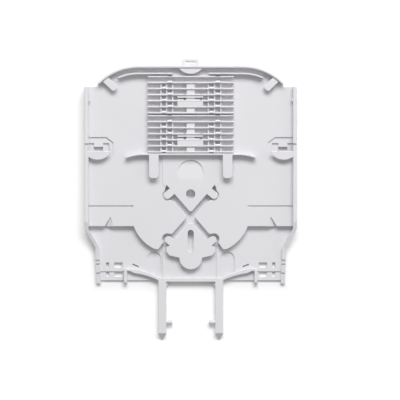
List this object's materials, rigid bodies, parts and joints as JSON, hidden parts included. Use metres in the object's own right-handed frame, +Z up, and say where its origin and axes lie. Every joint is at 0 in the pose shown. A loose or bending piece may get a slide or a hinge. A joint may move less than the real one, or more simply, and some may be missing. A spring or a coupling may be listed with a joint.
{
  "type": "fibre optic splice tray",
  "caption": "Flat moulded fibre optic splice tray with comb splice holders, crossover channels, fibre retaining tabs, cable tie racks and hinge arms with inward pegs.",
  "frame": {"origin": "on the table under the middle of the tray's overall outline", "axes": "+Y from the hinge arms to the pull loop, +Z up out of the open side, +X to the right with the loop away from the viewer"},
  "size_m": [0.138, 0.1828, 0.0104],
  "materials": {
    "tray_plastic": "satin moulded",
    "holder_plastic": "satin moulded"
  },
  "bodies": {
    "root": {"tray": "tray_plastic", "splice_holder_upper": "holder_plastic", "splice_holder_lower": "holder_plastic"}
  },
  "joints": []
}
